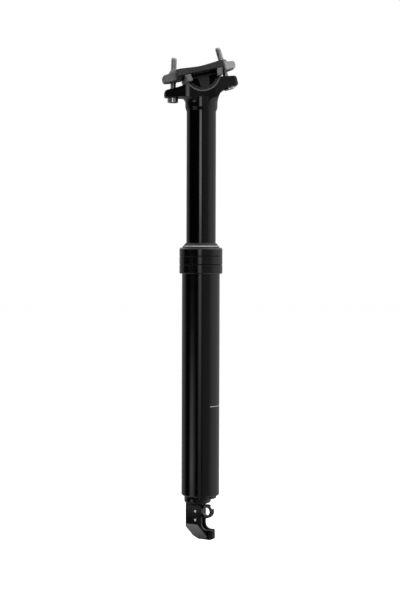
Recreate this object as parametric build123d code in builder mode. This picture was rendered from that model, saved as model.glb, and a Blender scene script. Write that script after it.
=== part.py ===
from build123d import *
from math import cos, radians, sin, tan
import os

os.makedirs("parts", exist_ok=True)

# A dropper seatpost, fully extended. The post's axis is Z, and Z is zero at the collar's lower
# face, where the frame's seat tube ends. X points to the saddle's rear.

# Fits
seat_gap = 0.02
running_gap = 0.05
passing_gap = 0.3
thread_gap = 0.4
overrun = 1.0

# Travel of the upper post, and what is left between seal and head when it is down
travel = 100.0
lowered_gap = 10.6

# Lower tube
tube_radius = 15.8
tube_bore_radius = 14.1
tube_length = 185.0
tube_end_bevel = 0.8
collar_thread_radius = 15.25
collar_thread_length = 12.5
keyway_count = 3
keyway_radius = 14.9
stop_ledge_radius = 12.9
stop_ledge_height = 3.0
upper_bushing_length = 28.5
foam_ring_height = 5.0

# Collar, wiper and wire ring
collar_radius = 18.0
collar_height = 21.8
collar_top_bevel = 1.4
collar_top_bevel_width = 1.0
collar_foot_bevel = 0.7
collar_groove_heights = (7.6, 14.7)
collar_groove_depth = 0.5
collar_groove_half_height = 0.9
wiper_stem_radius = 14.2
wiper_flange_radius = 15.6
wiper_flange_height = 0.6
wiper_lip_height = 3.7
wiper_lip_width = 0.6
wiper_band_width = 2.4
wire_radius = 0.45

# Upper tube
post_radius = 12.3
post_bore_radius = 10.3
post_overlap = 62.0
post_foot_radius = 11.9
post_foot_bevel = 0.5

# Guide parts at the upper tube's foot
bumper_height = 4.0
key_length = 12.0
key_width = 3.2
key_depth = 0.9
guide_bushing_length = 17.0
bushing_split = 1.6
clip_thickness = 1.2
clip_depth = 0.6
clip_width = 1.5
clip_opening_angle = 40.0

# Gas cartridge
cartridge_radius = 9.0
cartridge_bore_radius = 7.8
cartridge_length = 190.0
rod_radius = 4.0
rod_guide_length = 12.0
piston_length = 8.0
piston_space = 8.0
seal_cord_radius = 0.9
rod_seal_depth = 4.0
valve_length = 12.0
nipple_radius = 5.0
valve_spring_radius = 2.6
valve_spring_length = 6.0
valve_spring_wire = 0.45

# Closure of the lower tube
end_plug_height = 8.0
end_plug_inset = 5.0
lock_ring_height = 7.2
lock_ring_bore_radius = 10.5
lock_ring_skirt_radius = 13.4
lock_ring_notch_count = 6
lock_ring_notch_width = 4.2
base_radius = 11.2
base_offset = 2.5
base_height = 4.2
base_boss_radius = 9.0
base_edge_radius = 2.2
spigot_radius = 5.5
spigot_height = 2.0

# Cable actuator below the lower tube, turned about the post's axis
actuator_turn = -32.0
bracket_width = 9.6
bracket_slot = 5.0
bracket_slot_web = 0.7
bracket_back = 11.5
bracket_front = 3.2
bracket_slot_back = 9.4
bracket_height = 29.6
bracket_back_corner_height = 20.0
bracket_chin_reach = 0.4
foot_reach = 13.4
foot_height = 8.0
foot_inner_radius = 5.0
bracket_top_bevel = 2.2
bracket_top_bevel_depth = 0.7
bracket_taper_depth = 0.9
bracket_taper_height = 11.9
bracket_rim_places = ((0.0, 11.9), (2.2, 9.4), (8.7, 2.9), (8.0, 0.0))
bracket_rim_radius = 0.5
bracket_edge_bevel = 0.7
foot_tip_radius = 2.5
foot_toe_radius = 2.2
pin_radius = 1.05
pin_proud = 0.25
pivot_back = 2.1
pivot_drop = 6.7
stop_pin_drop = 13.8
lever_thickness = 4.2
lever_cam_radius = 3.05
lever_cam_offset = 1.3
lever_cam_angle = 165.0
lever_heel_length = 8.6
lever_heel_width = 2.0
lever_heel_angle = 250.0
lever_arm_width = 4.4
cradle_reach = 8.6
cable_cradle_radius = 3.4
cable_cradle_wall = 2.2
cable_cradle_gap = 3.0
cable_cradle_gap_angle = 42.0
cradle_groove_depth = 1.0
cradle_groove_width = 1.6
cable_notch_width = 1.2
housing_radius = 2.1
housing_bore_depth = 5.6
cable_slot_width = 1.4
push_rod_radius = 2.4
push_rod_stem_radius = 1.5
push_rod_gap = 1.0

# Head: neck, round cradle and an ear for each clamp bolt
pivot_rise = 30.5
neck_radius = 13.5
neck_flare_height = 11.0
neck_flare_radius = 5.0
head_width = 25.0
socket_depth = 10.0
cradle_inset = 16.0
cradle_front_angle = 54.0
cradle_rear_angle = 80.0
ear_width = 13.6
ear_shoulder = 13.0
front_ear_reach = 7.35
front_ear_thickness = 6.1
front_ear_rise = 9.1
front_ear_rise_reach = 4.0
front_ear_root_radius = 5.5
rear_ear_reach = 7.75
rear_ear_thickness = 7.7
rear_ear_root_radius = 11.0
ear_corner_radius = 2.6
ear_plan_radius = 18.0
ear_tip_radius = 6.4
neck_bevel_width = 0.9
neck_bevel_height = 2.8

# Saddle clamp, its two halves on rails that slope with the seat
rail_slope = 12.5
rail_radius = 3.5
rail_spacing = 44.0
lower_clamp_width = 24.8
lower_clamp_chord = 1.5
lower_clamp_rim = 3.4
lower_clamp_bar = 2.0
lower_clamp_web = 8.0
rib_top_width = 10.0
rib_foot_width = 6.0
finger_inset = 1.7
finger_width = 4.6
finger_height = 5.6
finger_lean = 1.2
finger_top_drop = 0.2
clamp_half_width = 26.5
upper_clamp_shift = -2.0
upper_clamp_half_length = 31.2
upper_clamp_lip = 0.3
upper_clamp_crown = 4.2
upper_clamp_shoulder = 5.8
upper_clamp_shoulder_inset = 14.2
wing_inset = 11.6
wing_corner_radius = 1.5
nose_half_width = 7.6
nose_top = 4.8
nose_floor = -1.6
nose_tip_floor = -0.7
nose_tip_radius = 2.5
nose_root_inset = 11.2
nose_radius = 4.2
nose_plan_radius = 6.4
flank_width = 12.0
flank_inset = 8.7
underside_pocket_depth = 2.4
underside_pocket_half_length = 14.5
underside_pocket_half_width = 16.0
nut_inset = 10.25
nut_height = 4.5
nut_radius = 4.0
nut_length = 14.6
nut_bevel = 0.5

# Clamp bolts and their domed washers
front_bolt_lean = 1.6
rear_bolt_lean = -16.6
front_ear_drop = 19.85
rear_ear_drop = 20.15
front_seat_rise = 1.4
rear_seat_rise = 3.3
bolt_radius = 2.5
bolt_head_radius = 4.5
bolt_head_height = 4.0
bolt_socket_width = 4.0
bolt_socket_depth = 2.6
bolt_bevel = 0.5
front_bolt_end = 14.25
rear_bolt_end = 14.55
seat_dome_radius = 6.5
seat_dome_drop = 4.5
washer_radius = 4.6
washer_sink = 0.9
ear_hole_radius = 3.1
ear_hole_stretch = 0.6
spot_face_radius = 5.2

# Sizes and heights that follow from these
wiper_top = collar_height + wiper_lip_height
neck_bottom = travel + wiper_top + lowered_gap
pivot_height = neck_bottom + pivot_rise
upper_clamp_shoulder_place = upper_clamp_half_length - upper_clamp_shoulder_inset
wing_half_length = upper_clamp_half_length - wing_inset
nose_root = upper_clamp_half_length - nose_root_inset
flank_place = upper_clamp_half_length - flank_inset
nut_place = upper_clamp_half_length - nut_inset
cradle_radius = upper_clamp_half_length - cradle_inset
finger_place = cradle_radius - finger_inset
ledge_top = collar_thread_length - foam_ring_height - upper_bushing_length
ledge_bottom = ledge_top - stop_ledge_height
bumper_top = ledge_bottom - passing_gap
keys_top = bumper_top - bumper_height
keys_bottom = keys_top - key_length
guide_top = keys_bottom - key_depth
guide_bottom = guide_top - guide_bushing_length
plug_bottom = -tube_length + end_plug_inset
plug_top = plug_bottom + end_plug_height
cartridge_top = plug_top + cartridge_length
ring_bottom = plug_bottom - lock_ring_height
base_top = ring_bottom - passing_gap
base_bottom = base_top - base_height
nipple_bottom = base_bottom + spigot_height + passing_gap
pivot_level = base_bottom - pivot_drop
stop_pin_level = base_bottom - stop_pin_drop
bracket_bottom = base_bottom - bracket_height
foot_top = bracket_bottom + foot_height
cam_rise = lever_cam_radius + lever_cam_offset * sin(radians(lever_cam_angle))
push_rod_bottom = pivot_level + cam_rise + push_rod_gap

# Planes of the saddle clamp and of the actuator
slope = radians(rail_slope)
clamp_pivot = Vector(0, 0, pivot_height)
rail_direction = Vector(cos(slope), 0, sin(slope))
clamp_up = Vector(-sin(slope), 0, cos(slope))
upper_clamp_centre = clamp_pivot + rail_direction * upper_clamp_shift
clamp_side = Plane(origin=clamp_pivot, x_dir=rail_direction, z_dir=(0, -1, 0))
upper_side = Plane(origin=upper_clamp_centre, x_dir=rail_direction, z_dir=(0, -1, 0))
upper_plan = Plane(origin=upper_clamp_centre, x_dir=rail_direction, z_dir=clamp_up)
turn = radians(actuator_turn)
hook_direction = Vector(cos(turn), sin(turn), 0)
hook_side = Vector(sin(turn), -cos(turn), 0)
actuator_plane = Plane(origin=(0, 0, 0), x_dir=hook_direction, z_dir=hook_side)


def clamp_point(along, up):
    """A point of the upper clamp's middle plane, as a place in the post's own frame."""
    return upper_clamp_centre + rail_direction * along + clamp_up * up


def bolt_line(nut_centre, lean_degrees, ear_drop):
    """The bolt's direction, the ear's underside on the bolt's line, and the way along the ear."""
    lean = radians(lean_degrees)
    direction = Vector(sin(lean), 0, cos(lean))
    across = Vector(cos(lean), 0, -sin(lean))
    return direction, nut_centre - direction * ear_drop, across


front_nut_centre = clamp_point(-nut_place, nut_height)
rear_nut_centre = clamp_point(nut_place, nut_height)
front_bolt_up, front_floor, front_across = bolt_line(
    front_nut_centre, front_bolt_lean, front_ear_drop
)
rear_bolt_up, rear_floor, rear_across = bolt_line(
    rear_nut_centre, rear_bolt_lean, rear_ear_drop
)
front_seat = front_floor + front_bolt_up * front_seat_rise
rear_seat = rear_floor + rear_bolt_up * rear_seat_rise


def side_point(place):
    """The X and Z of a place, for an outline in the plane of the bicycle."""
    return (place.X, place.Z)


def save(builder, name):
    """Name the finished piece and write its file."""
    builder.part.label = name
    export_step(builder.part, "parts/" + name + ".step")


# Lower tube, with three keyways, a stop ledge and a thread for the collar
with BuildPart() as lower_tube:
    with BuildSketch(Plane.XY.offset(-tube_length)):
        Circle(tube_radius)
    extrude(amount=tube_length)
    chamfer(lower_tube.edges().group_by(Axis.Z)[0], tube_end_bevel)
    with BuildSketch(Plane.XY):
        Circle(collar_thread_radius)
    extrude(amount=collar_thread_length)
    with BuildSketch(Plane.XY.offset(ledge_top)):
        Circle(tube_bore_radius)
    extrude(amount=collar_thread_length - ledge_top, mode=Mode.SUBTRACT)
    with BuildSketch(Plane.XY.offset(ledge_bottom)):
        Circle(stop_ledge_radius)
    extrude(amount=stop_ledge_height, mode=Mode.SUBTRACT)
    with BuildSketch(Plane.XY.offset(-tube_length)):
        Circle(tube_bore_radius)
    extrude(amount=tube_length + ledge_bottom, mode=Mode.SUBTRACT)
    with BuildSketch(Plane.XY.offset(plug_top)):
        with PolarLocations(keyway_radius / 2, keyway_count):
            Rectangle(keyway_radius, key_width + 2 * running_gap)
    extrude(amount=ledge_bottom - plug_top, mode=Mode.SUBTRACT)
save(lower_tube, "lower_tube")

# Collar, screwed on the tube, with two grooves round it
with BuildPart() as seal_collar:
    with BuildSketch(Plane.XY):
        Circle(collar_radius)
    extrude(amount=collar_height)
    chamfer(seal_collar.edges().group_by(Axis.Z)[0], collar_foot_bevel)
    chamfer(
        seal_collar.edges().group_by(Axis.Z)[-1],
        length=collar_top_bevel_width,
        length2=collar_top_bevel,
        reference=seal_collar.faces().sort_by(Axis.Z)[-1],
    )
    groove_floor = collar_radius - collar_groove_depth
    for groove_height in collar_groove_heights:
        with BuildSketch(Plane.XZ):
            Polygon(
                (groove_floor, groove_height),
                (collar_radius + collar_groove_depth, groove_height - collar_groove_half_height),
                (collar_radius + collar_groove_depth, groove_height + collar_groove_half_height),
                align=None,
            )
        revolve(axis=Axis.Z, mode=Mode.SUBTRACT)
    with BuildSketch(Plane.XY):
        Circle(collar_thread_radius + running_gap)
    extrude(amount=collar_thread_length, mode=Mode.SUBTRACT)
    with BuildSketch(Plane.XY):
        Circle(wiper_stem_radius + running_gap)
    extrude(amount=collar_height, mode=Mode.SUBTRACT)
save(seal_collar, "seal_collar")

# Wiper: a stem in the collar, a flange on top of it and a lip that meets the upper tube
stem_inner = post_radius + running_gap
lip_outer = stem_inner + wiper_lip_width
band_outer = stem_inner + wiper_band_width
flange_top = collar_height + wiper_flange_height
with BuildPart() as wiper_seal:
    with BuildSketch(Plane.XZ):
        Polygon(
            (stem_inner, collar_thread_length),
            (wiper_stem_radius, collar_thread_length),
            (wiper_stem_radius, collar_height),
            (wiper_flange_radius, collar_height),
            (wiper_flange_radius - wire_radius, flange_top),
            (band_outer, flange_top + wire_radius),
            (band_outer - wire_radius, flange_top + 3 * wire_radius),
            (lip_outer, wiper_top),
            (stem_inner, wiper_top),
            align=None,
        )
    revolve(axis=Axis.Z)
    wire_level = flange_top + wire_radius
    wire_ring_radius = band_outer + wire_radius
    with BuildSketch(Plane.XZ):
        with Locations((wire_ring_radius, wire_level)):
            Circle(wire_radius + seat_gap)
    revolve(axis=Axis.Z, mode=Mode.SUBTRACT)
save(wiper_seal, "wiper_seal")

# Steel wire ring in the wiper's groove
with BuildPart() as wiper_wire:
    with BuildSketch(Plane.XZ):
        with Locations((wire_ring_radius, wire_level)):
            Circle(wire_radius)
    revolve(axis=Axis.Z)
save(wiper_wire, "wiper_wire_ring")

# Oiled foam ring between the wiper and the bushing
with BuildPart() as foam_ring:
    with BuildSketch(Plane.XY.offset(collar_thread_length - foam_ring_height)):
        Circle(tube_bore_radius - running_gap)
        Circle(post_radius + running_gap, mode=Mode.SUBTRACT)
    extrude(amount=foam_ring_height)
save(foam_ring, "foam_ring")

# Upper bushing, a split sleeve on the stop ledge
with BuildPart() as upper_bushing:
    with BuildSketch(Plane.XY.offset(ledge_top)):
        Circle(tube_bore_radius - seat_gap)
        Circle(post_radius + running_gap, mode=Mode.SUBTRACT)
        with Locations((-tube_bore_radius, 0)):
            Rectangle(tube_bore_radius, bushing_split, mode=Mode.SUBTRACT)
    extrude(amount=upper_bushing_length)
save(upper_bushing, "upper_bushing")

# Upper tube, with pockets for the keys, a seat for the guide bushing and a groove for its clip
head_socket_top = neck_bottom + socket_depth
clip_floor = post_foot_radius - clip_depth
key_floor = post_radius - key_depth
with BuildPart() as upper_tube:
    with BuildSketch(Plane.XY.offset(-post_overlap)):
        Circle(post_radius)
    extrude(amount=post_overlap + head_socket_top - seat_gap)
    with BuildSketch(Plane.XY.offset(-post_overlap)):
        Circle(post_radius + overrun)
        Circle(post_foot_radius, mode=Mode.SUBTRACT)
    extrude(amount=post_overlap + guide_top, mode=Mode.SUBTRACT)
    with BuildSketch(Plane.XY.offset(guide_bottom - clip_thickness)):
        Circle(post_radius)
        Circle(clip_floor, mode=Mode.SUBTRACT)
    extrude(amount=clip_thickness, mode=Mode.SUBTRACT)
    with BuildSketch(Plane.XY.offset(keys_bottom)):
        with PolarLocations(key_floor + key_depth, keyway_count):
            Rectangle(2 * key_depth, key_width)
    extrude(amount=key_length, mode=Mode.SUBTRACT)
    with BuildSketch(Plane.XY.offset(-post_overlap)):
        Circle(post_bore_radius)
    extrude(amount=post_overlap + head_socket_top, mode=Mode.SUBTRACT)
    chamfer(upper_tube.edges().group_by(Axis.Z)[0], post_foot_bevel)
save(upper_tube, "upper_tube")

# Rubber bumper that meets the stop ledge at full height
with BuildPart() as top_bumper:
    with BuildSketch(Plane.XY.offset(keys_top)):
        Circle(tube_bore_radius - passing_gap)
        Circle(post_radius + seat_gap, mode=Mode.SUBTRACT)
    extrude(amount=bumper_height)
save(top_bumper, "top_out_bumper")

# Three keys that stop the upper tube from turning
key_span = keyway_radius - running_gap - key_floor
with BuildPart() as guide_keys:
    with BuildSketch(Plane.XY.offset(keys_bottom)):
        with PolarLocations(key_floor + key_span / 2 + seat_gap / 2, keyway_count):
            Rectangle(key_span - seat_gap, key_width - 2 * seat_gap)
    extrude(amount=key_length)
save(guide_keys, "guide_keys")

# Guide bushing, a split sleeve on the upper tube's foot
with BuildPart() as guide_bushing:
    with BuildSketch(Plane.XY.offset(guide_bottom)):
        Circle(tube_bore_radius - running_gap)
        Circle(post_foot_radius + seat_gap, mode=Mode.SUBTRACT)
        with Locations((-tube_bore_radius, 0)):
            Rectangle(tube_bore_radius, bushing_split, mode=Mode.SUBTRACT)
    extrude(amount=guide_bushing_length)
save(guide_bushing, "guide_bushing")

# Open spring clip below the guide bushing
clip_opening = 2 * post_radius * sin(radians(clip_opening_angle / 2))
with BuildPart() as guide_clip:
    with BuildSketch(Plane.XY.offset(guide_bottom - clip_thickness + seat_gap)):
        Circle(clip_floor + clip_width)
        Circle(clip_floor + seat_gap, mode=Mode.SUBTRACT)
        with Locations((post_radius, 0)):
            Rectangle(post_radius, clip_opening, mode=Mode.SUBTRACT)
    extrude(amount=clip_thickness - 2 * seat_gap)
save(guide_clip, "guide_clip")

# Gas cartridge: tube, rod guide, piston, rod and their seals
guide_bottom_level = cartridge_top - rod_guide_length
piston_top = guide_bottom_level - piston_space
piston_bottom = piston_top - piston_length
with BuildPart() as cartridge_tube:
    with BuildSketch(Plane.XY.offset(plug_top)):
        Circle(cartridge_radius)
        Circle(cartridge_bore_radius, mode=Mode.SUBTRACT)
    extrude(amount=cartridge_length)
save(cartridge_tube, "cartridge_tube")

rod_seal_level = guide_bottom_level + rod_seal_depth
with BuildPart() as rod_guide:
    with BuildSketch(Plane.XY.offset(guide_bottom_level)):
        Circle(cartridge_bore_radius - seat_gap)
        Circle(rod_radius + running_gap, mode=Mode.SUBTRACT)
    extrude(amount=rod_guide_length)
    with BuildSketch(Plane.XY.offset(rod_seal_level - seal_cord_radius)):
        Circle(rod_radius + running_gap + 2 * seal_cord_radius)
    extrude(amount=2 * seal_cord_radius, mode=Mode.SUBTRACT)
save(rod_guide, "cartridge_rod_guide")

with BuildPart() as rod_seal:
    with BuildSketch(Plane.XZ):
        with Locations((rod_radius + running_gap + seal_cord_radius, rod_seal_level)):
            Circle(seal_cord_radius - seat_gap)
    revolve(axis=Axis.Z)
save(rod_seal, "cartridge_rod_seal")

piston_seal_level = (piston_top + piston_bottom) / 2
piston_seal_ring_radius = cartridge_bore_radius - running_gap - seal_cord_radius
with BuildPart() as piston:
    with BuildSketch(Plane.XY.offset(piston_bottom)):
        Circle(cartridge_bore_radius - running_gap)
        Circle(rod_radius + seat_gap, mode=Mode.SUBTRACT)
    extrude(amount=piston_length)
    with BuildSketch(Plane.XY.offset(piston_seal_level - seal_cord_radius)):
        Circle(cartridge_bore_radius)
        Circle(piston_seal_ring_radius - seal_cord_radius, mode=Mode.SUBTRACT)
    extrude(amount=2 * seal_cord_radius, mode=Mode.SUBTRACT)
save(piston, "cartridge_piston")

with BuildPart() as piston_seal:
    with BuildSketch(Plane.XZ):
        with Locations((piston_seal_ring_radius, piston_seal_level)):
            Circle(seal_cord_radius - seat_gap)
    revolve(axis=Axis.Z)
save(piston_seal, "cartridge_piston_seal")

rod_top = head_socket_top - overrun
with BuildPart() as cartridge_rod:
    with BuildSketch(Plane.XY.offset(piston_bottom)):
        Circle(rod_radius)
    extrude(amount=rod_top - piston_bottom)
save(cartridge_rod, "cartridge_rod")

# Valve body in the cartridge's foot, with the threaded nipple that carries the actuator
stem_hole_radius = push_rod_stem_radius + running_gap
valve_spring_seat = plug_top + valve_length / 2
with BuildPart() as valve_body:
    with BuildSketch(Plane.XY.offset(plug_top)):
        Circle(cartridge_bore_radius - seat_gap)
    extrude(amount=valve_length)
    with BuildSketch(Plane.XY.offset(nipple_bottom)):
        Circle(nipple_radius)
    extrude(amount=plug_top - nipple_bottom)
    with BuildSketch(Plane.XY.offset(nipple_bottom)):
        Circle(stem_hole_radius)
    extrude(amount=valve_spring_seat - nipple_bottom, mode=Mode.SUBTRACT)
    with BuildSketch(Plane.XY.offset(valve_spring_seat - valve_spring_length)):
        Circle(valve_spring_radius + passing_gap)
    extrude(amount=valve_spring_length, mode=Mode.SUBTRACT)
save(valve_body, "cartridge_valve_body")

with BuildPart() as valve_spring:
    with BuildSketch(Plane.XY.offset(valve_spring_seat - valve_spring_length)):
        Circle(valve_spring_radius)
        Circle(valve_spring_radius - valve_spring_wire, mode=Mode.SUBTRACT)
    extrude(amount=valve_spring_length)
save(valve_spring, "valve_spring")

# End plug with its seal, and the castellated ring that locks it in the tube
plug_seal_level = (plug_top + plug_bottom) / 2
plug_seal_ring_radius = tube_bore_radius - running_gap - seal_cord_radius
with BuildPart() as end_plug:
    with BuildSketch(Plane.XY.offset(plug_bottom)):
        Circle(tube_bore_radius - running_gap)
        Circle(nipple_radius + seat_gap, mode=Mode.SUBTRACT)
    extrude(amount=end_plug_height)
    with BuildSketch(Plane.XY.offset(plug_seal_level - seal_cord_radius)):
        Circle(tube_bore_radius)
        Circle(plug_seal_ring_radius - seal_cord_radius, mode=Mode.SUBTRACT)
    extrude(amount=2 * seal_cord_radius, mode=Mode.SUBTRACT)
save(end_plug, "end_plug")

with BuildPart() as end_plug_seal:
    with BuildSketch(Plane.XZ):
        with Locations((plug_seal_ring_radius, plug_seal_level)):
            Circle(seal_cord_radius - seat_gap)
    revolve(axis=Axis.Z)
save(end_plug_seal, "end_plug_seal")

skirt_height = -tube_length - ring_bottom
with BuildPart() as lock_ring:
    with BuildSketch(Plane.XY.offset(ring_bottom)):
        Circle(lock_ring_skirt_radius)
    extrude(amount=lock_ring_height)
    with BuildSketch(Plane.XY.offset(-tube_length)):
        Circle(tube_bore_radius - running_gap)
    extrude(amount=plug_bottom + tube_length)
    with BuildSketch(Plane.XY.offset(ring_bottom)):
        Circle(lock_ring_bore_radius)
    extrude(amount=lock_ring_height, mode=Mode.SUBTRACT)
    with BuildSketch(Plane.XY.offset(ring_bottom)):
        with PolarLocations(lock_ring_skirt_radius, lock_ring_notch_count):
            Rectangle(lock_ring_skirt_radius / 2, lock_ring_notch_width)
    extrude(amount=skirt_height - seat_gap, mode=Mode.SUBTRACT)
save(lock_ring, "lock_ring")

# Actuator base, screwed on the nipple and set back from the cable
with BuildPart() as actuator_base:
    with BuildSketch(Plane.XY.offset(base_bottom)):
        with Locations(hook_direction * -base_offset):
            Circle(base_radius)
    extrude(amount=base_height)
    fillet(actuator_base.edges().group_by(Axis.Z)[0], base_edge_radius)
    with BuildSketch(Plane.XY.offset(base_top)):
        Circle(base_boss_radius)
    extrude(amount=plug_bottom - base_top)
    with BuildSketch(Plane.XY.offset(nipple_bottom)):
        Circle(nipple_radius + seat_gap)
    extrude(amount=plug_bottom - nipple_bottom, mode=Mode.SUBTRACT)
    with BuildSketch(Plane.XY.offset(base_bottom)):
        Circle(spigot_radius + seat_gap)
    extrude(amount=nipple_bottom - base_bottom, mode=Mode.SUBTRACT)
save(actuator_base, "actuator_base")

# Actuator bracket: a forged clevis whose foot hooks forward and holds the cable's housing. The
# lower half of each cheek leans in, up to a rim along the hook's inner side.
bracket_top = base_bottom
taper_level = bracket_bottom + bracket_taper_height
back_corner = bracket_top - bracket_back_corner_height
foot_round = bracket_width / 2
half_width = bracket_width / 2
cradle_centre_place = cradle_reach - pivot_back
lean_outline = [(along, bracket_bottom + up) for along, up in bracket_rim_places]
lean_outline.append((-2 * bracket_back, bracket_bottom))
lean_outline.append((-2 * bracket_back, taper_level))
lean_outer = half_width + overrun
lean_wedge = Polygon(
    (half_width, taper_level),
    (half_width - bracket_taper_depth, bracket_bottom),
    (lean_outer, bracket_bottom),
    (lean_outer, taper_level),
    align=None,
)
lean_length = foot_reach + 2 * bracket_back
leaning_part = extrude(
    actuator_plane * Polygon(*lean_outline, align=None), amount=bracket_width, both=True
)
leaning_part &= Part() + [
    extrude(
        Plane(origin=(0, 0, 0), x_dir=hook_side * side, z_dir=hook_direction * -side) * lean_wedge,
        amount=lean_length,
        both=True,
    )
    for side in (-1, 1)
]
with BuildPart() as actuator_bracket:
    with BuildSketch(actuator_plane):
        with BuildLine():
            FilletPolyline(
                (-bracket_back, bracket_top),
                (bracket_front, bracket_top),
                (bracket_front, foot_top),
                (foot_reach, foot_top),
                (foot_reach, bracket_bottom),
                (bracket_chin_reach, bracket_bottom),
                (bracket_chin_reach - foot_inner_radius, bracket_bottom + foot_inner_radius / 2),
                (-bracket_back, back_corner),
                radius=[
                    bracket_edge_bevel,
                    bracket_edge_bevel,
                    foot_inner_radius,
                    foot_tip_radius,
                    foot_toe_radius,
                    foot_inner_radius / 2,
                    foot_inner_radius / 2,
                    2 * bracket_edge_bevel,
                ],
                close=True,
            )
        make_face()
    extrude(amount=half_width, both=True)
    cheeks = actuator_bracket.faces().sort_by(Axis((0, 0, 0), hook_side))
    fillet(cheeks[0].edges() + cheeks[-1].edges(), bracket_rim_radius)
    with BuildSketch(Plane(origin=(0, 0, bracket_bottom), x_dir=hook_direction)):
        with Locations((foot_reach / 2 - bracket_back / 2, 0)):
            RectangleRounded(foot_reach + bracket_back, bracket_width, bracket_edge_bevel)
        with Locations((foot_reach - foot_round / 2, 0)):
            Rectangle(foot_round, bracket_width, mode=Mode.SUBTRACT)
        with Locations((foot_reach - foot_round, 0)):
            Circle(foot_round)
    extrude(amount=bracket_height, mode=Mode.INTERSECT)
    for side in (-1, 1):
        face_plane = Plane(origin=(0, 0, 0), x_dir=hook_side * side, z_dir=hook_direction * -side)
        with BuildSketch(face_plane):
            Polygon(
                (half_width - bracket_top_bevel_depth, bracket_top),
                (half_width, bracket_top - bracket_top_bevel),
                (half_width + overrun, bracket_top - bracket_top_bevel),
                (half_width + overrun, bracket_top),
                align=None,
            )
        extrude(amount=foot_reach + bracket_back, both=True, mode=Mode.SUBTRACT)
    add(leaning_part, mode=Mode.SUBTRACT)
    with BuildSketch(Plane.XY.offset(bracket_top)):
        Circle(spigot_radius)
    extrude(amount=spigot_height)
    with BuildSketch(Plane.XY.offset(push_rod_bottom)):
        Circle(push_rod_radius + running_gap)
    extrude(amount=bracket_top + spigot_height - push_rod_bottom, mode=Mode.SUBTRACT)
    slot_top = bracket_top - bracket_slot_web
    slot_floor = foot_top - passing_gap
    with BuildSketch(actuator_plane):
        with BuildLine():
            FilletPolyline(
                (-bracket_slot_back, slot_top),
                (2 * foot_reach, slot_top),
                (2 * foot_reach, slot_floor),
                (0, slot_floor),
                (-bracket_slot_back, back_corner + overrun),
                radius=overrun,
                close=True,
            )
        make_face()
    extrude(amount=bracket_slot / 2, both=True, mode=Mode.SUBTRACT)
    housing_plane = Plane(
        origin=hook_direction * cradle_centre_place + Vector(0, 0, bracket_bottom),
        x_dir=hook_direction,
    )
    with BuildSketch(housing_plane):
        Circle(housing_radius)
    extrude(amount=housing_bore_depth, mode=Mode.SUBTRACT)
    with BuildSketch(housing_plane):
        with Locations((foot_round, 0)):
            Rectangle(2 * foot_round + cable_slot_width, cable_slot_width)
    extrude(amount=foot_height + overrun, mode=Mode.SUBTRACT)
    with BuildSketch(actuator_plane):
        with Locations((-pivot_back, pivot_level), (-pivot_back, stop_pin_level)):
            Circle(pin_radius + seat_gap)
    extrude(amount=bracket_width, both=True, mode=Mode.SUBTRACT)
save(actuator_bracket, "actuator_bracket")

# The two pins through the clevis: the lever's pivot and the lever's stop
for pin_name, pin_level in (("lever_pivot_pin", pivot_level), ("lever_stop_pin", stop_pin_level)):
    with BuildPart() as clevis_pin:
        with BuildSketch(actuator_plane):
            with Locations((-pivot_back, pin_level)):
                Circle(pin_radius)
        extrude(amount=half_width + pin_proud, both=True)
    save(clevis_pin, pin_name)

# Cable lever: a cam under the push rod, a heel on the stop pin and a ring for the cable's end.
# The ring's far half is open, so that the cable goes in from the side.
pivot_place = (-pivot_back, pivot_level)
cam_angle = radians(lever_cam_angle)
heel_angle = radians(lever_heel_angle)
cradle_outer = cable_cradle_radius + cable_cradle_wall
gap_angle = radians(cable_cradle_gap_angle)
with BuildPart() as cable_lever:
    with BuildSketch(actuator_plane):
        with Locations(
            (
                -pivot_back + lever_cam_offset * cos(cam_angle),
                pivot_level + lever_cam_offset * sin(cam_angle),
            )
        ):
            Circle(lever_cam_radius)
        with Locations((-pivot_back + cradle_reach / 2, pivot_level)):
            Rectangle(cradle_reach, lever_arm_width)
        with Locations((cradle_centre_place, pivot_level)):
            Circle(cradle_outer)
        with Locations(
            Location(
                (
                    -pivot_back + lever_heel_length / 2 * cos(heel_angle),
                    pivot_level + lever_heel_length / 2 * sin(heel_angle),
                    0,
                ),
                lever_heel_angle,
            )
        ):
            RectangleRounded(lever_heel_length, lever_heel_width, lever_heel_width / 2 - seat_gap)
        with Locations((cradle_centre_place, pivot_level)):
            Circle(cable_cradle_radius, mode=Mode.SUBTRACT)
        with Locations((cradle_centre_place, pivot_level - cable_cradle_radius)):
            Rectangle(cable_notch_width, cable_cradle_wall, mode=Mode.SUBTRACT)
        with Locations(pivot_place):
            Circle(pin_radius + running_gap, mode=Mode.SUBTRACT)
    extrude(amount=lever_thickness / 2, both=True)
    with BuildSketch(actuator_plane):
        with Locations((cradle_centre_place, pivot_level)):
            Circle(2 * cradle_outer)
            Circle(cradle_outer - cradle_groove_depth, mode=Mode.SUBTRACT)
        with Locations((cradle_centre_place - 2 * cradle_outer, pivot_level)):
            Rectangle(4 * cradle_outer, 4 * cradle_outer, mode=Mode.SUBTRACT)
    extrude(amount=cradle_groove_width / 2, both=True, mode=Mode.SUBTRACT)
    with BuildSketch(actuator_plane):
        with Locations(
            Location(
                (
                    cradle_centre_place + cradle_outer * cos(gap_angle),
                    pivot_level + cradle_outer * sin(gap_angle),
                    0,
                ),
                cable_cradle_gap_angle,
            )
        ):
            Rectangle(2 * cable_cradle_radius, cable_cradle_gap)
    extrude(amount=-lever_thickness, mode=Mode.SUBTRACT)
save(cable_lever, "cable_lever")

# Push rod that the cam lifts against the valve
with BuildPart() as push_rod:
    with BuildSketch(Plane.XY.offset(push_rod_bottom)):
        Circle(push_rod_radius)
    extrude(amount=bracket_top - push_rod_bottom)
    with BuildSketch(Plane.XY.offset(bracket_top)):
        Circle(push_rod_stem_radius)
    extrude(amount=valve_spring_seat - valve_spring_length - bracket_top)
save(push_rod, "push_rod")

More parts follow.
